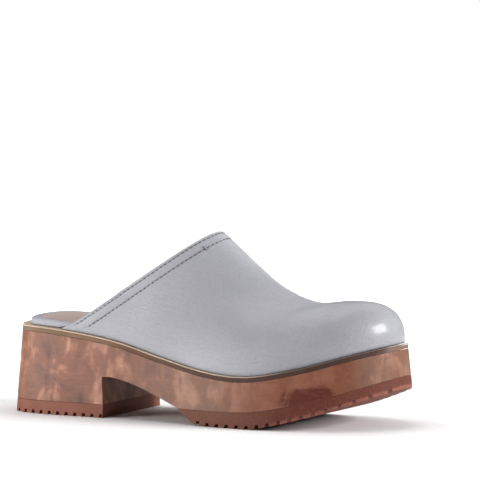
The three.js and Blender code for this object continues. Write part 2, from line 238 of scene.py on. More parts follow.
class ClogSizes(bpy.types.PropertyGroup):
    leather: length_property("Leather", "Thickness of the upper leather", 0.0011)
    edge_radius: length_property("Edge radius", "Radius of the turned topline edge", 0.00125)
    facing_width: length_property("Facing width", "Leather turned to the inside of the topline", 0.0115)
    outer_row: length_property("Outer row", "Distance of the first stitch row from the topline", 0.0021)
    inner_row: length_property("Inner row", "Distance of the second stitch row from the topline", 0.0076)
    groove: length_property("Groove", "How far a stitch row pulls the leather in", 0.0003)
    stitch_pitch: length_property("Stitch pitch", "Distance from stitch to stitch", 0.0032)
    stitch_length: length_property("Stitch length", "Visible length of one stitch", 0.0021)
    thread: length_property("Thread", "Radius of the thread", 0.00038)
    wood_edge: length_property("Wood edge", "Rounding of the wood's edges", 0.0007)
    rubber_edge: length_property("Rubber edge", "Rounding of the tread's edges", 0.0003)
    layer_edge: length_property("Layer edge", "Rounding of the thin layers' edges", 0.00025)
    dish: length_property("Dish", "How far the heel seat is dished", 0.0009)


class ClogColours(bpy.types.PropertyGroup):
    leather: colour_property("Leather", "Grey upper leather", tone(152, 152, 158))
    sock: colour_property("Sock", "Leather on the footbed", tone(176, 154, 146))
    thread: colour_property("Thread", "Stitching thread", tone(92, 92, 98))
    wood_light: colour_property("Wood, light", "Lightest tone of the stained wood", tone(168, 121, 98))
    wood_mid: colour_property("Wood, middle", "Middle tone of the stained wood", tone(122, 77, 57))
    wood_dark: colour_property("Wood, dark", "Darkest tone of the stained wood", tone(82, 45, 30))
    rubber: colour_property("Rubber", "Ridged treads", tone(124, 76, 60))
    midsole: colour_property("Midsole", "Dark layer under the upper", tone(74, 47, 38))
    slip_sole: colour_property("Slip sole", "Natural leather layer", tone(186, 164, 142))


class ClogStage(bpy.types.PropertyGroup):
    azimuth: bpy.props.FloatProperty(
        name="Azimuth", description="Camera's turn round the clog", default=math.radians(28), subtype="ANGLE",
    )
    elevation: bpy.props.FloatProperty(
        name="Elevation", description="Camera's height angle", default=math.radians(6.2), subtype="ANGLE",
    )
    distance: length_property("Distance", "Camera to clog", 4.0)
    aside: length_property("Aside", "How far right of the clog's middle the camera aims", 25 / 1600)
    above: length_property("Above", "How far above the clog's middle the camera aims", 91 / 1600)
    ambient: bpy.props.FloatProperty(
        name="Ambient", description="Light from all round", default=0.15, min=0.0,
    )


# ---- Materials ----
class Wire:
    """A socket that takes part in arithmetic: each operator adds a Math node."""

    def __init__(self, paint, socket):
        self.paint, self.socket = paint, socket

    def maths(self, operation, *values):
        return self.paint.node("ShaderNodeMath", {"operation": operation}, dict(enumerate(values)))

    def __add__(self, other):
        return self.maths("ADD", self, other)

    def __sub__(self, other):
        return self.maths("SUBTRACT", self, other)

    def __mul__(self, other):
        return self.maths("MULTIPLY", self, other)

    def __truediv__(self, other):
        return self.maths("DIVIDE", self, other)

    def __pow__(self, other):
        return self.maths("POWER", self, other)

    __radd__ = __add__
    __rmul__ = __mul__

    def between(self, low, high, start=0.0, end=1.0):
        """A smooth step from start at low to end at high."""
        values = {"Value": self, "From Min": low, "From Max": high, "To Min": start, "To Max": end}
        return self.paint.node("ShaderNodeMapRange", {"interpolation_type": "SMOOTHSTEP"}, values)


class Paint:
    """One material and the nodes that make it."""

    def __init__(self, name):
        self.material = bpy.data.materials.new(name)
        self.material.use_nodes = True
        self.tree = self.material.node_tree
        self.tree.nodes.clear()
        self.place = self.node("ShaderNodeTexCoord", output="Object")

    def node(self, kind, settings=None, inputs=None, output=0):
        made = self.tree.nodes.new(kind)
        for key, value in (settings or {}).items():
            if key == "stops":
                self.set_stops(made.color_ramp, value)
            else:
                setattr(made, key, value)
        for key, value in (inputs or {}).items():
            if isinstance(value, Wire):
                self.tree.links.new(value.socket, made.inputs[key])
            else:
                made.inputs[key].default_value = value
        return Wire(self, made.outputs[output])

    @staticmethod
    def set_stops(ramp, stops):
        while len(ramp.elements) < len(stops):
            ramp.elements.new(1.0)
        for element, (position, colour) in zip(ramp.elements, stops):
            element.position = position
            element.color = (*colour, 1.0)

    def scaled(self, x, y, z, turn=(0.0, 0.0, 0.0)):
        values = {"Vector": self.place, "Scale": (x, y, z), "Rotation": turn}
        return self.node("ShaderNodeMapping", None, values)

    def axes(self):
        """The place's x, y and z, in millimetres."""
        split = self.tree.nodes.new("ShaderNodeSeparateXYZ")
        self.tree.links.new(self.place.socket, split.inputs[0])
        return [Wire(self, split.outputs[i]) * 1000 for i in range(3)]

    def noise(self, scale, detail=2.0, rough=0.5, place=None, warp=0.0):
        values = {
            "Vector": place or self.place, "Scale": scale, "Detail": detail,
            "Roughness": rough, "Distortion": warp,
        }
        return self.node("ShaderNodeTexNoise", None, values)

    def cells(self, scale, feature="F1", place=None):
        values = {"Vector": place or self.place, "Scale": scale}
        return self.node("ShaderNodeTexVoronoi", {"feature": feature}, values, "Distance")

    def colours(self, share, first, second):
        """The first colour turning into the second as share goes from 0 to 1."""
        def colour(value):
            return value if isinstance(value, Wire) else (*value, 1.0)
        settings = {"data_type": "RGBA", "blend_type": "MIX", "clamp_result": True}
        return self.node("ShaderNodeMix", settings, {0: share, 6: colour(first), 7: colour(second)}, 2)

    def warped(self, scale, amount):
        """The place, pushed about by noise."""
        push = self.node("ShaderNodeTexNoise", None, {"Vector": self.place, "Scale": scale}, "Color")
        move = self.node("ShaderNodeVectorMath", {"operation": "SUBTRACT"}, {0: push, 1: (0.5, 0.5, 0.5)})
        move = self.node("ShaderNodeVectorMath", {"operation": "SCALE"}, {0: move, "Scale": amount})
        return self.node("ShaderNodeVectorMath", {"operation": "ADD"}, {0: self.place, 1: move})

    def bump(self, height, distance, strength=1.0, under=None):
        values = {"Height": height, "Distance": distance, "Strength": strength}
        if under is not None:
            values["Normal"] = under
        return self.node("ShaderNodeBump", None, values)

    def finish(self, **values):
        """Ends the material in a Principled shader."""
        inputs = {key.replace("_", " "): value for key, value in values.items()}
        shader = self.node("ShaderNodeBsdfPrincipled", None, inputs)
        output = self.tree.nodes.new("ShaderNodeOutputMaterial")
        self.tree.links.new(shader.socket, output.inputs["Surface"])
        return self.material


def colours():
    return bpy.context.scene.clog_colours


def sizes():
    return bpy.context.scene.clog_sizes


def shaded(colour, share):
    return tuple(min(1.0, c * share) for c in colour)


def leather_material(name, colour, toe_gloss=0.0):
    """Smooth leather with a fine pebbled grain, pores and faint creases."""
    paint = Paint(name)
    x, _, _ = paint.axes()
    soft = paint.warped(180, 0.0012)
    pebble = paint.cells(820, "SMOOTH_F1", place=soft)
    pores = paint.noise(2600, 3)
    crease_place = paint.scaled(60, 60, 150, (0.25, 0.35, 0.0))
    creases = paint.noise(1.0, 4, 0.6, place=crease_place, warp=1.2)
    broad = paint.noise(22, 3, 0.55)
    base = paint.colours(broad.between(0.3, 0.7), shaded(colour, 0.93), shaded(colour, 1.06))
    base = paint.colours(pebble.between(0.25, 0.75, 0.0, 0.16), base, shaded(colour, 0.62))
    base = paint.colours(pores.between(0.56, 0.7, 0.0, 0.12), base, shaded(colour, 0.55))
    rough = 0.47 + paint.noise(90, 3) * 0.12 + pores * 0.05
    polish = x.between(88, 112) * toe_gloss if toe_gloss else 0.0
    wrinkles = paint.noise(1.0, 3, 0.6, place=paint.scaled(70, 70, 260, (0.2, 0.3, 0.0)), warp=0.8)
    normal = paint.bump(creases, 0.0009, 0.3)
    normal = paint.bump(wrinkles, 0.0006, 0.45, normal)
    normal = paint.bump(pebble, 0.0003, 0.6, normal)
    normal = paint.bump(pores, 0.00006, 0.55, normal)
    return paint.finish(
        Base_Color=base, Roughness=rough, Normal=normal, Specular_IOR_Level=0.4,
        Coat_Weight=polish, Coat_Roughness=0.2,
    )


def wood_material(worn_and_lit=False):
    """Stained and waxed wood: blotches of stain over a grain that runs along the sole, and a painted dark
    reflection near the toe.
    The edge kind is for its edges: lighter partly where the stain is rubbed thin, partly as a painted highlight
    where the edges catch light."""
    tints = colours()
    paint = Paint("stained_wood_edge" if worn_and_lit else "stained_wood")
    x, _, z = paint.axes()
    blotches = paint.noise(1.0, 4, 0.6, place=paint.scaled(34, 30, 26, (0.0, 0.2, 0.0)), warp=1.0)
    strokes = paint.noise(1.0, 3, 0.6, place=paint.scaled(75, 60, 40), warp=0.9)
    clouds = paint.noise(11, 2, 0.5)
    grain = paint.noise(1.0, 5, 0.65, place=paint.scaled(30, 420, 560), warp=0.3)
    fibres = paint.noise(1.0, 3, 0.6, place=paint.scaled(110, 2200, 2600))
    share = blotches * 0.6 + strokes * 0.4
    stops = (
        (0.34, shaded(tints.wood_dark, 0.95)), (0.44, shaded(tints.wood_mid, 0.82)), (0.50, tints.wood_mid),
        (0.60, tints.wood_light), (0.74, shaded(tints.wood_light, 1.16)),
    )
    base = paint.node("ShaderNodeValToRGB", {"stops": stops}, {0: share})
    base = paint.colours(clouds.between(0.45, 0.6, 0.0, 0.4), base, tone(106, 76, 59))
    toe_side = x.between(20, 60) * x.between(118, 108)
    base = paint.colours(toe_side * 0.62, base, tone(126, 68, 45))
    # Dark red patch near the toe: a painted dark reflection on the polished wood, not stain.
    painted_reflection = (x - 88) * (x - 88) / 210 + (z - 19) * (z - 19) / 90 + (strokes - 0.5) * 3.2
    base = paint.colours(painted_reflection.between(1.5, 0.7) * 0.9, base, tone(84, 28, 17))
    base = paint.colours(grain.between(0.52, 0.72, 0.0, 0.22), base, tints.wood_dark)
    base = paint.colours(grain.between(0.48, 0.3, 0.0, 0.14), base, shaded(tints.wood_light, 1.15))
    base = paint.colours(fibres.between(0.58, 0.72, 0.0, 0.16), base, shaded(tints.wood_dark, 0.8))
    # Edges lighter towards the toe: partly stain rubbed thin, partly a painted highlight where the edges catch
    # light.
    if worn_and_lit:
        rubbed_and_lit = (x.between(-45, 10, 0.12, 0.62) + (strokes - 0.5) * 0.8)
        base = paint.colours(rubbed_and_lit, base, tone(206, 160, 138))
    rough = 0.42 + blotches * 0.18 + fibres * 0.06
    normal = paint.bump(grain, 0.00025, 0.25)
    normal = paint.bump(fibres, 0.00008, 0.35, normal)
    return paint.finish(
        Base_Color=base, Roughness=rough, Normal=normal, Specular_IOR_Level=0.3,
    )


def rubber_material():
    tints = colours()
    paint = Paint("tread_rubber")
    x, _, z = paint.axes()
    mottle = paint.noise(60, 3, 0.6)
    speck = paint.noise(900, 3, 0.6)
    base = paint.colours(x.between(-60, 20), tints.rubber, tone(102, 62, 46))
    base = paint.colours(x.between(30, 80), base, tone(92, 42, 29))
    base = paint.colours(mottle.between(0.35, 0.7, 0.0, 0.4), base, shaded(tints.rubber, 0.62))
    base = paint.colours(speck.between(0.5, 0.68, 0.0, 0.3), base, shaded(tints.rubber, 1.5))
    # Tooth tips near the toe are lighter: partly scuffed rubber, partly a painted highlight where the tips catch
    # light.
    front = x - 48
    height = z - front * 0.167 - front * front * 0.00162
    scuffed_and_lit = height.between(2.0, 0.6) * x.between(58, 76, 0.0, 0.28)
    base = paint.colours(scuffed_and_lit, base, tone(184, 122, 104))
    normal = paint.bump(speck, 0.0001, 0.4)
    return paint.finish(
        Base_Color=base, Roughness=0.6 + mottle * 0.16, Normal=normal, Specular_IOR_Level=0.25,
    )


def layer_material(name, stops, fibre_scale):
    """A thin cut layer whose edge shows fine fibres and changes colour from heel to toe."""
    paint = Paint(name)
    x, _, _ = paint.axes()
    fibres = paint.noise(1.0, 4, 0.65, place=paint.scaled(60, fibre_scale, fibre_scale))
    broad = paint.noise(45, 3)
    share = (x + 131) / 262 + (broad - 0.5) * 0.12
    base = paint.node("ShaderNodeValToRGB", {"stops": stops}, {0: share})
    dark = shaded(stops[1][1], 0.5)
    base = paint.colours(broad.between(0.4, 0.7, 0.0, 0.25), base, dark)
    base = paint.colours(fibres.between(0.5, 0.72, 0.0, 0.35), base, dark)
    normal = paint.bump(fibres, 0.00012, 0.5)
    return paint.finish(
        Base_Color=base, Roughness=0.66 + fibres * 0.14, Normal=normal, Specular_IOR_Level=0.3,
    )


def grain_material(name, colour, scale, dark=0.6, depth=0.0002, rough=0.8, metallic=0.0):
    """A plain inner material with a granular surface."""
    paint = Paint(name)
    grains = paint.cells(scale)
    fine = paint.noise(scale * 3, 3)
    base = paint.colours(grains.between(0.15, 0.6), shaded(colour, dark), colour)
    base = paint.colours(fine.between(0.45, 0.7, 0.0, 0.35), base, shaded(colour, dark))
    normal = paint.bump(grains, depth, 0.4)
    return paint.finish(Base_Color=base, Roughness=rough + fine * 0.1, Metallic=metallic, Normal=normal)


def thread_material():
    paint = Paint("thread")
    twist = paint.noise(2600, 2, 0.5)
    base = paint.colours(twist.between(0.4, 0.65), shaded(colours().thread, 0.75), shaded(colours().thread, 1.15))
    return paint.finish(Base_Color=base, Roughness=0.62 + twist * 0.1, Normal=paint.bump(twist, 0.00008, 0.5))


def floor_material():
    """Matt white, fading into the white surroundings away from the clog."""
    paint = Paint("floor")
    x, y, _ = paint.axes()
    away = (x * x + y * y) ** 0.5
    tint = paint.noise(3, 2)
    base = paint.colours(tint, (0.88, 0.88, 0.88), (0.91, 0.91, 0.91))
    glow = paint.colours(away.between(210, 420), (0.0, 0.0, 0.0), (1.0, 1.0, 1.0))
    return paint.finish(
        Base_Color=base, Roughness=0.6 + tint * 0.1, Specular_IOR_Level=0.2,
        Emission_Color=glow, Emission_Strength=1.0,
    )


# ---- Modelling ----
def deselect():
    if bpy.context.object and bpy.context.object.mode != "OBJECT":
        bpy.ops.object.mode_set(mode="OBJECT")
    bpy.ops.object.select_all(action="DESELECT")


def pick(piece):
    deselect()
    piece.select_set(True)
    bpy.context.view_layer.objects.active = piece


def edit(piece):
    pick(piece)
    bpy.ops.object.mode_set(mode="EDIT")
    bpy.ops.mesh.select_all(action="SELECT")


def done():
    bpy.ops.object.mode_set(mode="OBJECT")


def apply_modifier(piece, kind, **settings):
    pick(piece)
    modifier = piece.modifiers.new(kind.lower(), kind)
    for key, value in settings.items():
        setattr(modifier, key, value)
    bpy.ops.object.modifier_apply(modifier=modifier.name)


def smooth_shading(piece, angle=35):
    pick(piece)
    bpy.ops.object.shade_smooth_by_angle(angle=math.radians(angle))


def sheet_of(name, rows):
    """A sheet through a grid of points, made from a grid primitive. Coinciding points are merged."""
    deselect()
    bpy.ops.mesh.primitive_grid_add(x_subdivisions=len(rows[0]) - 1, y_subdivisions=len(rows) - 1, size=1.0)
    piece = bpy.context.object
    piece.name = piece.data.name = name
    width = len(rows[0])
    for vertex in piece.data.vertices:
        row, column = divmod(vertex.index, width)
        vertex.co = placed(rows[row][column])
    edit(piece)
    bpy.ops.mesh.remove_doubles(threshold=2e-5)
    done()
    return piece


def face_out(piece, rank, looks_in):
    """Makes the faces agree, and turns them all if the lowest ranked one looks the wrong way."""
    edit(piece)
    bpy.ops.mesh.normals_make_consistent(inside=False)
    done()
    probe = min(piece.data.polygons, key=rank)
    if looks_in(probe.normal):
        edit(piece)
        bpy.ops.mesh.flip_normals()
        done()


def copy_of(node, name):
    """A welded copy of a CAD node, as the start of a finished piece."""
    pick(NODES[node])
    bpy.ops.object.duplicate()
    piece = bpy.context.object
    piece.name = piece.data.name = name
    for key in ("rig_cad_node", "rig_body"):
        del piece[key]
    bpy.ops.mesh.customdata_custom_splitnormals_clear()
    edit(piece)
    bpy.ops.mesh.remove_doubles(threshold=1e-5)
    bpy.ops.mesh.dissolve_limited(angle_limit=math.radians(0.3))
    done()
    return piece


def finish_piece(piece, slot, material, *nodes):
    """Gives a piece its material, unless it has one, and its body, and hides the nodes it stands for. The slot is
    not used.
    """
    if material:
        piece.data.materials.clear()
        piece.data.materials.append(material)
    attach(piece, BODY)
    if nodes:
        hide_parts(*nodes)


def bevelled_copy(node, name, width, segments, slot, material, edge_material=None):
    piece = copy_of(node, name)
    piece.data.materials.clear()
    piece.data.materials.append(material)
    if edge_material:
        piece.data.materials.append(edge_material)
    apply_modifier(
        piece, "BEVEL", width=width, segments=segments, limit_method="ANGLE",
        angle_limit=math.radians(38), use_clamp_overlap=True, miter_outer="MITER_ARC",
        material=1 if edge_material else -1,
    )
    smooth_shading(piece)
    apply_modifier(piece, "WEIGHTED_NORMAL", mode="FACE_AREA", weight=100, keep_sharp=True)
    finish_piece(piece, slot, None, node)
    return piece


class ClogOperator:
    bl_options = {"REGISTER", "UNDO"}


# ---- Upper surface ----
QUARTER = 34  # columns from the sole to the crest
FOOT_PHI = 0.035
CORNER_RADIUS = 0.8
CORNER_STEPS = 3
MARGIN_INSETS = (7.0, 4.5, 2.2)  # columns of the margin turned in under the board
FACING_ROWS = (9.6, 7.6, 5.5, 3.6, 2.2)  # distances from the topline, inside
ROLL_STEPS = 10
TACK_COLUMN = 24
FAR = 99.0  # stands for any distance from the topline past its own rows
PHIS = [FOOT_PHI + (math.pi / 2 - FOOT_PHI) * (j / QUARTER) for j in range(QUARTER + 1)]
RIB_COLUMNS = [(0, phi) for phi in PHIS] + [(1, phi) for phi in PHIS[-2::-1]]


def topline():
    return np.array([upper_point(side, 0, phi) for side, phi in RIB_COLUMNS])


def distance_to_line(point, line):
    a, b = line[:-1], line[1:]
    step = b - a
    t = np.clip(((point - a) * step).sum(1) / (step * step).sum(1), 0, 1)
    return float(np.linalg.norm(a + step * t[:, None] - point, axis=1).min())


def shares_at(distance, line):
    """For every rib column, the share t whose point is this far from the topline."""
    found = []
    for side, phi in RIB_COLUMNS:
        low, high = 0.0, 0.4
        for _ in range(22):
            middle = (low + high) / 2
            point = np.array(upper_point(side, middle, phi))
            low, high = (middle, high) if distance_to_line(point, line) < distance else (low, middle)
        found.append((low + high) / 2)
    return found


def grid_normals(points):
    """Unit normals of a grid of points."""
    grid = np.array([[list(p) for p in row] for row in points])
    along = np.gradient(grid, axis=1)
    down = np.gradient(grid, axis=0)
    normal = np.cross(along, down)
    size = np.linalg.norm(normal, axis=2, keepdims=True)
    return normal / np.maximum(size, 1e-9)


class UpperSurface:
    """The outer surface of the upper as rows of points, with the topline's offsets as its first rows."""

    near = (0.0, 1.25, 1.5, 1.75, 1.95, 2.1, 2.25, 2.45, 2.7, 3.1, 3.7, 4.4, 5.2, 6.0, 6.6, 7.0,
            7.25, 7.45, 7.6, 7.75, 7.95, 8.2, 8.6, 9.2, 10.0, 11.2, 12.6, 14.2)
    far_rows = 62

    def __init__(self):
        line = topline()
        self.line = line
        self.near_shares = [shares_at(d, line) if d else [0.0] * len(RIB_COLUMNS) for d in self.near]
        last = self.near_shares[-1]
        self.shares = list(self.near_shares)
        for i in range(1, self.far_rows + 1):
            k = i / self.far_rows
            self.shares.append([mix(t, 1.0, k) for t in last])
        self.distances = list(self.near) + [FAR] * self.far_rows
        self.points = [
            [upper_point(side, t, phi) for (side, phi), t in zip(RIB_COLUMNS, row)] for row in self.shares
        ]
        normals = grid_normals(self.points)
        centre = np.array((0.0, 0.0, 60.0))  # a place inside the shoe
        grid = np.array([[list(p) for p in row] for row in self.points])
        flip = np.sign(((grid - centre) * normals).sum(2).mean())
        self.normals = normals * flip
        # at the toe tip and the pole the grid folds onto itself, so each normal there is averaged
        self.normals[-1] = self.fold_normals()

    def row_at(self, distance):
        """The row nearest to a distance from the topline."""
        return int(np.argmin([abs(n - distance) for n in self.near]))

    def fold_normals(self):
        width = len(RIB_COLUMNS)
        row = self.normals[-2]
        both = row + row[::-1]
        both[width // 2] = (0, 0, 1)
        return both / np.linalg.norm(both, axis=1, keepdims=True)


def stitched_depth(distance, sizes_mm):
    """How far the stitch rows pull the leather in at a distance from the topline, and how it swells between."""
    outer, inner, groove = sizes_mm
    depth = -groove * math.exp(-((distance - outer) / 0.38) ** 2)
    depth -= groove * 1.15 * math.exp(-((distance - inner) / 0.45) ** 2)
    if outer < distance < inner:
        depth += 0.22 * math.sin(math.pi * (distance - outer) / (inner - outer)) ** 0.8
    return depth


surface_cache = {}


def surface():
    if "upper" not in surface_cache:
        surface_cache["upper"] = UpperSurface()
    return surface_cache["upper"]


def upper_faces_out(piece):
    """Turns the faces of the upper or its lining away from the foot."""
    outer_side = placed(Vector((60, -40, 50)))
    face_out(piece, lambda face: (face.center - outer_side).length, lambda normal: normal.y > 0)


def undulation(point):
    """Faint unevenness of the lasted leather."""
    place = Vector(point) * 0.035
    return 0.16 * noise.noise(place) + 0.07 * noise.noise(place * 2.6)


FOLDS_X, FOLDS_Z, FOLDS_LENGTH, FOLDS_HEIGHT = -84, 56, 9, 7
FOLD_DEPTH, FOLD_RATE = 0.35, 1.25


def foot_folds(point):
    """Small folds where the topline comes down to the sole."""
    near = math.exp(-((point.x - FOLDS_X) / FOLDS_LENGTH) ** 2)
    near *= math.exp(-((point.z - FOLDS_Z) / FOLDS_HEIGHT) ** 2)
    return FOLD_DEPTH * near * math.sin((point.x + point.z * 0.5) * FOLD_RATE)


class CLOG_OT_upper(ClogOperator, bpy.types.Operator):
    """Models the leather upper with its turned topline edge and its lasting margin"""
    bl_idname = "clog.upper"
    bl_label = "Leather upper"

    def execute(self, context):
        s = sizes()
        sizes_mm = (s.outer_row / MM, s.inner_row / MM, s.groove / MM)
        radius = s.edge_radius / MM
        upper = surface()
        width = len(RIB_COLUMNS)
        outer = []
        for i, row in enumerate(upper.points):
            moved = []
            for j, point in enumerate(row):
                d = upper.distances[i]
                lift = 0.0 if d == 0 else undulation(point) * smooth(0, 12, j) * smooth(0, 12, width - 1 - j)
                if d < FAR:
                    lift = lift * smooth(8, 15, d) + stitched_depth(d, sizes_mm)
                lift += foot_folds(point) if d > 1 else 0
                moved.append(point + Vector(upper.normals[i][j]) * lift)
            outer.append(moved)
        rolled = self.rolled_edge(upper, radius, s.facing_width / MM)
        rows = rolled + outer[1:]
        shares = [upper.shares[0]] * len(rolled) + upper.shares[1:]
        full = [
            self.under(0, share[0]) + row + self.under(1, share[-1])[::-1] for row, share in zip(rows, shares)
        ]
        piece = sheet_of("upper", full)
        upper_faces_out(piece)
        self.relax_pole(piece)
        apply_modifier(piece, "SOLIDIFY", thickness=s.leather, offset=-1.0, use_even_offset=False)
        smooth_shading(piece, 60)
        leather = leather_material("grey_leather", colours().leather, toe_gloss=0.32)
        finish_piece(piece, "grey_leather", leather, "vamp", "topline_facing")
        return {"FINISHED"}

    @staticmethod
    def under(side, t):
        """The columns turned in under the insole board, ending in the rounded corner at the feather line."""
        share = mix(FOOT_SHARE[side], TOE_SHARE, t)
        columns = [seat_point(share, FEATHER_INSET + inset, REST) for inset in MARGIN_INSETS]
        for k in range(CORNER_STEPS):
            turn = k / CORNER_STEPS * math.pi / 2
            inset = CORNER_RADIUS * (1 - math.sin(turn))
            columns.append(seat_point(share, FEATHER_INSET + inset, REST + CORNER_RADIUS * (1 - math.cos(turn))))
        return columns

    @staticmethod
    def rolled_edge(upper, radius, facing_width):
        """Rows from the facing's inner edge, round the turned edge, to where the outside begins."""
        edge = np.array([list(p) for p in upper.points[0]])
        along = np.gradient(edge, axis=0)
        along /= np.linalg.norm(along, axis=1, keepdims=True)
        inward = np.array([list(p) for p in upper.points[4]]) - edge
        normal = upper.normals[3]
        inward -= (inward * along).sum(1)[:, None] * along
        inward -= (inward * normal).sum(1)[:, None] * normal
        inward /= np.linalg.norm(inward, axis=1, keepdims=True)
        centre = edge - normal * radius + inward * radius
        rows = []
        for distance in (facing_width, *FACING_ROWS):
            i = upper.row_at(distance)
            rows.append([p - Vector(n) * (2 * radius) for p, n in zip(upper.points[i], upper.normals[i])])
        for k in range(ROLL_STEPS):
            angle = math.pi * (k / ROLL_STEPS)
            ring = centre - normal * radius * math.cos(angle) - inward * radius * math.sin(angle)
            rows.append([Vector(p) for p in ring])
        return rows

    @staticmethod
    def relax_pole(piece):
        """Evens out the ribs where they meet on the toe."""
        pole = placed(Vector((98, 6, 76.8)))
        pick(piece)
        for parts in (piece.data.polygons, piece.data.edges):
            parts.foreach_set("select", [False] * len(parts))
        for vertex in piece.data.vertices:
            vertex.select = (vertex.co - pole).length < 0.016
        bpy.ops.object.mode_set(mode="EDIT")
        bpy.ops.mesh.select_mode(type="VERT")
        bpy.ops.mesh.vertices_smooth(factor=0.5, repeat=8)
        done()


class CLOG_OT_lining(ClogOperator, bpy.types.Operator):
    """Models the lining inside the upper"""
    bl_idname = "clog.lining"
    bl_label = "Lining"

    def execute(self, context):
        upper = surface()
        start = upper.near.index(11.2)
        rows = []
        for i in range(start, len(upper.points)):
            share = upper.shares[i]
            row = []
            for j, (point, normal) in enumerate(zip(upper.points[i], upper.normals[i])):
                depth = 1.45 + smooth(0.48, 0.58, share[j]) * 1.2
                floor = wood_top(point.x) + BOARD_BASE + 1.25
                inner = point - Vector(normal) * depth
                inner.z = max(inner.z, floor)
                row.append(inner)
            rows.append(row)
        piece = sheet_of("lining", rows)
        upper_faces_out(piece)
        apply_modifier(piece, "SOLIDIFY", thickness=0.0008, offset=-1.0, use_even_offset=False)
        smooth_shading(piece, 60)
        finish_piece(piece, "sock_leather", leather_material("lining_leather", colours().sock), "vamp_lining")
        return {"FINISHED"}


class CLOG_OT_stitching(ClogOperator, bpy.types.Operator):
    """Sews two rows of stitches along the topline"""
    bl_idname = "clog.stitching"
    bl_label = "Topline stitching"

    def execute(self, context):
        s = sizes()
        deselect()
        bpy.ops.mesh.primitive_uv_sphere_add(segments=8, ring_count=6, radius=1.0)
        stitch = bpy.context.object
        edit(stitch)
        bpy.ops.transform.resize(value=(s.stitch_length / 2, s.thread, s.thread))
        done()
        upper = surface()
        places = []
        for distance in (s.outer_row / MM, s.inner_row / MM):
            places += self.row_places(upper, distance, s.stitch_pitch / MM)
        places += self.tack_places(upper, s)
        thread = bmesh.new()
        for place in places:
            single = stitch.data.copy()
            single.transform(place)
            thread.from_mesh(single)
            bpy.data.meshes.remove(single)
        mesh = bpy.data.meshes.new("topline_stitching")
        thread.to_mesh(mesh)
        thread.free()
        piece = bpy.data.objects.new("topline_stitching", mesh)
        context.scene.collection.objects.link(piece)
        bpy.data.objects.remove(stitch)
        pick(piece)
        bpy.ops.object.shade_smooth()
        finish_piece(piece, "grey_leather", thread_material())
        return {"FINISHED"}

    @staticmethod
    def frame_at(point, along, normal):
        along = along.normalized()
        side = normal.cross(along).normalized()
        up = along.cross(side)
        return Matrix.LocRotScale(placed(point), Matrix((along, side, up)).transposed(), None)

    def row_places(self, upper, distance, pitch):
        shares = shares_at(distance, upper.line)
        points = np.array([upper_point(side, t, phi) for (side, phi), t in zip(RIB_COLUMNS, shares)])
        track = Track(points)
        normals = upper.normals[upper.row_at(distance)]
        count = int(track.length / pitch)
        places = []
        for i in range(count):
            share = (i + 0.5) / count
            point = Vector(track.at(share))
            normal = Vector([np.interp(share, track.share, axis) for axis in normals.T]).normalized()
            ahead = Vector(track.at(min(1, share + 0.004))) - Vector(track.at(max(0, share - 0.004)))
            places.append(self.frame_at(point - normal * 0.1, ahead, normal))
        return places

    def tack_places(self, upper, s):
        """The short bar of stitches on the inner row, near the top of the outer side."""
        places = []
        for k in range(3):
            i = upper.row_at(mix(s.inner_row / MM - 2.0, s.inner_row / MM + 0.6, k / 2))
            point, normal = upper.points[i][TACK_COLUMN], Vector(upper.normals[i][TACK_COLUMN])
            ahead = upper.points[i + 1][TACK_COLUMN] - upper.points[i - 1][TACK_COLUMN]
            places.append(self.frame_at(point + normal * 0.05, ahead, normal))
        return places


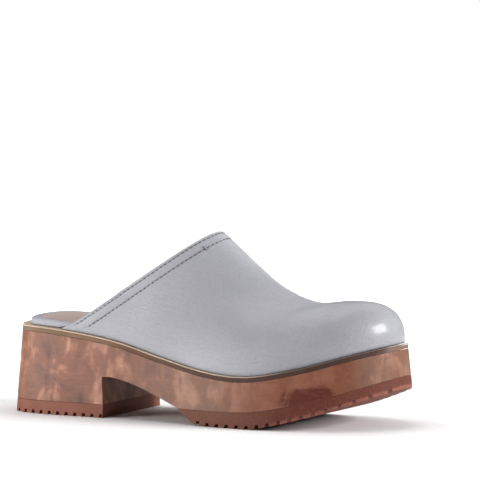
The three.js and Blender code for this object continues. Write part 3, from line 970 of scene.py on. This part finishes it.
# ---- Footbed ----
class CLOG_OT_footbed(ClogOperator, bpy.types.Operator):
    """Models the footbed: the grey leather wrap round its heel and the padded sock on top"""
    bl_idname = "clog.footbed"
    bl_label = "Footbed"

    def execute(self, context):
        self.wrap()
        self.pad()
        return {"FINISHED"}

    @staticmethod
    def wrap():
        rim = COVER_TOP
        wall, corner = HEEL_REST_INSET, 1.9
        ends = [share_at_x(-62, 0), share_at_x(-62, 1) - 1.0]
        count = 96
        rows = []
        for i in range(count + 1):
            share = mix(ends[1], ends[0], i / count) % 1.0
            x = ground.at(share)[0]
            base = mix(REST, BOARD_BASE + 0.1, smooth(-95, -93, x))
            profile = [(wall + 0.5, base), (wall + 0.12, base + 0.15), (wall, base + 0.6)]
            profile += [(wall - 0.12, mix(base + 0.6, rim - corner, k / 3)) for k in (1, 2)]
            for k in range(7):
                turn = k / 6 * math.pi / 2
                profile.append((wall + corner * (1 - math.cos(turn)), rim - corner * (1 - math.sin(turn))))
            profile += [(wall + 3.2, rim - 0.05), (wall + 4.6, rim - 0.25)]
            profile += [(wall + 5.6, rim - 0.6), (wall + 6.1, rim - 1.1)]
            rows.append([seat_point(share, inset, height) for inset, height in profile])
        piece = sheet_of("footbed_rim", rows)
        face_out(piece, lambda face: 0.4 * abs(face.center.y) - face.center.z, lambda normal: normal.z < 0)
        apply_modifier(piece, "SOLIDIFY", thickness=0.0007, offset=-1.0)
        apply_modifier(piece, "SUBSURF", levels=1, render_levels=1)
        smooth_shading(piece, 60)
        finish_piece(piece, "grey_leather", leather_material("rim_leather", colours().leather), "footbed_wrap")

    @staticmethod
    def pad():
        s = sizes()
        shares = np.linspace(0, 1, 241)[:-1]

        def inset_at(x):
            return mix(6.4, HEEL_REST_INSET + 5.3, 1 - smooth(-61, -49, x))

        edge = np.array([list(seat_point(k, inset_at(ground.at(k)[0]), 0))[:2] for k in shares])
        low_x, high_x = edge[:, 0].min() + 0.01, edge[:, 0].max() - 0.01
        loop = np.vstack([edge, edge[:1]])

        def span(x):
            crossings = []
            for a, b in zip(loop[:-1], loop[1:]):
                if (a[0] - x) * (b[0] - x) <= 0 and a[0] != b[0]:
                    crossings.append(mix(a[1], b[1], (x - a[0]) / (b[0] - a[0])))
            return min(crossings), max(crossings)

        stations, across = 96, 26
        rows = []
        for i in range(stations + 1):
            turn = math.pi * i / stations
            x = mix(low_x, high_x, (1 - math.cos(turn)) / 2)
            y_low, y_high = span(x)
            row = []
            for j in range(across + 1):
                y = mix(y_low, y_high, (1 - math.cos(math.pi * j / across)) / 2)
                away = distance_to_line(np.array((x, y)), loop)
                edge_drop = 0.75 * (1 - smooth(0, 2.4, away)) + 0.25 * (1 - smooth(0, 0.7, away))
                dish = s.dish / MM * smooth(2, 17, away) * (1 - smooth(-40, 0, x))
                row.append(Vector((x, y, wood_top(x) + COVER_TOP - 0.15 - edge_drop - dish)))
            rows.append(row)
        piece = sheet_of("footbed_pad", rows)
        face_out(piece, lambda face: face.center.length_squared, lambda normal: normal.z < 0)
        apply_modifier(piece, "SOLIDIFY", thickness=0.0009, offset=-1.0)
        smooth_shading(piece, 60)
        leather = leather_material("sock_leather", colours().sock)
        finish_piece(piece, "sock_leather", leather, "sock_cover", "footbed_foam")


# ---- Sole ----
class CLOG_OT_sole(ClogOperator, bpy.types.Operator):
    """Finishes the wooden sole and the two thin layers on it"""
    bl_idname = "clog.sole"
    bl_label = "Wooden sole and layers"

    def execute(self, context):
        s, tints = sizes(), colours()
        wood, worn_and_lit = wood_material(), wood_material(worn_and_lit=True)
        bevelled_copy("wooden_sole", "wood", s.wood_edge, 3, "stained_wood", wood, worn_and_lit)
        # Midsole edge: lighter at the heel as painted light where the light falls strongest, and lighter again at
        # the tip, partly worn paint and partly a painted reflection.
        stops = (
            (0.0, tone(124, 102, 82)), (0.2, tone(118, 92, 70)), (0.4, tone(92, 62, 44)),
            (0.55, tints.midsole), (0.95, shaded(tints.midsole, 0.7)), (0.975, tone(118, 92, 80)),
        )
        dark = layer_material("dark_midsole", stops, 900)
        bevelled_copy("midsole", "midsole_layer", s.layer_edge, 2, "dark_midsole", dark)
        # Slip sole edge: cream at the heel, darker over the front of the forefoot as painted shade under the
        # upper's edge, lighter again at the tip.
        stops = (
            (0.0, tints.slip_sole), (0.6, shaded(tints.slip_sole, 0.95)), (0.7, tone(156, 140, 128)),
            (0.8, tone(92, 78, 72)), (0.95, tone(88, 76, 72)), (0.975, tone(150, 136, 128)),
        )
        tan = layer_material("natural_leather", stops, 1500)
        bevelled_copy("slip_sole", "slip_layer", s.layer_edge, 2, "natural_leather", tan)
        return {"FINISHED"}


class CLOG_OT_treads(ClogOperator, bpy.types.Operator):
    """Finishes the ridged rubber treads"""
    bl_idname = "clog.treads"
    bl_label = "Rubber treads"

    def execute(self, context):
        material = rubber_material()
        for node, name in (("heel_top_piece", "heel_tread"), ("forepart_outsole", "forepart_tread")):
            bevelled_copy(node, name, sizes().rubber_edge, 2, "tread_rubber", material)
        return {"FINISHED"}


class CLOG_OT_inner_parts(ClogOperator, bpy.types.Operator):
    """Gives the hidden CAD parts their materials"""
    bl_idname = "clog.inner_parts"
    bl_label = "Inner parts"

    def execute(self, context):
        board = grain_material("fibreboard", tone(183, 159, 126), 700)
        cork = grain_material("cork_filler", tone(164, 124, 85), 420, 0.45, 0.0004, 0.85)
        puff = grain_material("stiffener_board", tone(207, 199, 180), 1200, 0.8, 0.0001)
        steel = grain_material("nail_steel", tone(143, 144, 148), 2500, 0.8, 0.00003, 0.32, 1.0)
        kept = {"insole_board": board, "bottom_filler": cork, "toe_puff": puff}
        kept.update({name: steel for name in NODES if name.startswith("insole_nail")})
        for name, material in kept.items():
            for slot in NODES[name].material_slots:
                slot.material = material
        return {"FINISHED"}


# ---- Stage ----
CLOG_MIDDLE = Vector((0, 0, 55))
LIGHTS_AIM = Vector((0.0, 0.0, 0.05))
FLOOR_RADIUS = 0.75
SOFTBOXES = (  # name, place, width, height and power
    ("left_low", (-0.5, -0.5, 0.08), 0.35, 0.14, 3.4),
    ("left", (-0.45, -0.42, 0.22), 0.3, 0.35, 0.9),
    ("right", (1.9, 0.36, 0.82), 0.7, 0.6, 46),
    ("right_back", (1.1, 1.4, 1.1), 1.6, 1.5, 8.5),
    ("top_back", (-0.3, 1.4, 1.5), 1.4, 1.4, 6.5),
    ("top_near", (-0.15, 0.05, 0.75), 0.5, 0.5, 3.1),
)


class CLOG_OT_stage(ClogOperator, bpy.types.Operator):
    """Sets up the floor, the lights and the camera"""
    bl_idname = "clog.stage"
    bl_label = "Stage"

    def execute(self, context):
        stage = context.scene.clog_stage
        context.scene.view_settings.view_transform = "Standard"
        deselect()
        bpy.ops.mesh.primitive_circle_add(vertices=96, radius=FLOOR_RADIUS, fill_type="NGON")
        floor = bpy.context.object
        floor.name = floor.data.name = "floor"
        floor.data.materials.append(floor_material())
        self.world(stage)
        for row in SOFTBOXES:
            self.softbox(*row)
        self.camera(stage)
        return {"FINISHED"}

    @staticmethod
    def world(stage):
        """White to look at, and softer as light."""
        world = bpy.data.worlds.new("studio")
        bpy.context.scene.world = world
        world.use_nodes = True
        tree = world.node_tree
        tree.nodes.clear()
        seen = tree.nodes.new("ShaderNodeBackground")
        seen.inputs["Strength"].default_value = 1.0
        seen.inputs["Color"].default_value = (1, 1, 1, 1)
        light = tree.nodes.new("ShaderNodeBackground")
        light.inputs["Color"].default_value = (0.97, 0.98, 1, 1)
        light.inputs["Strength"].default_value = stage.ambient
        path = tree.nodes.new("ShaderNodeLightPath")
        both = tree.nodes.new("ShaderNodeMixShader")
        output = tree.nodes.new("ShaderNodeOutputWorld")
        tree.links.new(path.outputs["Is Camera Ray"], both.inputs[0])
        tree.links.new(light.outputs[0], both.inputs[1])
        tree.links.new(seen.outputs[0], both.inputs[2])
        tree.links.new(both.outputs[0], output.inputs[0])

    @staticmethod
    def softbox(name, place, width, height, power):
        data = bpy.data.lights.new(name, "AREA")
        data.shape = "RECTANGLE"
        data.size, data.size_y = width, height
        data.energy = power
        light = bpy.data.objects.new(name, data)
        bpy.context.scene.collection.objects.link(light)
        light.location = place
        light.rotation_euler = (Vector(place) - LIGHTS_AIM).to_track_quat("Z", "Y").to_euler()

    @staticmethod
    def camera(stage):
        data = bpy.data.cameras.new("camera")
        data.lens = 480
        data.sensor_width = 36
        data.clip_end = 100
        camera = bpy.data.objects.new("camera", data)
        bpy.context.scene.collection.objects.link(camera)
        a, e = stage.azimuth, stage.elevation
        back = Vector((math.sin(a) * math.cos(e), -math.cos(a) * math.cos(e), math.sin(e)))
        camera.location = placed(CLOG_MIDDLE) + back * stage.distance
        turned = back.to_track_quat("Z", "Y")
        aim = placed(CLOG_MIDDLE) + turned @ Vector((stage.aside, stage.above, 0.0))
        camera.rotation_euler = (camera.location - aim).to_track_quat("Z", "Y").to_euler()
        bpy.context.scene.camera = camera


OPERATORS = (
    CLOG_OT_sole, CLOG_OT_treads, CLOG_OT_upper, CLOG_OT_lining, CLOG_OT_stitching,
    CLOG_OT_footbed, CLOG_OT_inner_parts, CLOG_OT_stage,
)


class CLOG_PT_panel(bpy.types.Panel):
    """The clog's pieces, in the order they are made"""
    bl_idname = "CLOG_PT_panel"
    bl_label = "Platform clog"
    bl_space_type = "VIEW_3D"
    bl_region_type = "UI"
    bl_category = "Clog"

    def draw(self, context):
        for group in (context.scene.clog_sizes, context.scene.clog_colours, context.scene.clog_stage):
            column = self.layout.column()
            for name in group.__annotations__:
                column.prop(group, name)
        for operator in OPERATORS:
            self.layout.operator(operator.bl_idname)


CLASSES = (ClogSizes, ClogColours, ClogStage, *OPERATORS, CLOG_PT_panel)


def register():
    for cls in CLASSES:
        bpy.utils.register_class(cls)
    bpy.types.Scene.clog_sizes = bpy.props.PointerProperty(type=ClogSizes)
    bpy.types.Scene.clog_colours = bpy.props.PointerProperty(type=ClogColours)
    bpy.types.Scene.clog_stage = bpy.props.PointerProperty(type=ClogStage)


def unregister():
    for name in ("clog_sizes", "clog_colours", "clog_stage"):
        delattr(bpy.types.Scene, name)
    for cls in reversed(CLASSES):
        bpy.utils.unregister_class(cls)


def main():
    register()
    for operator in OPERATORS:
        _, name = operator.bl_idname.split(".")
        getattr(bpy.ops.clog, name)()


if __name__ == "__main__":
    main()
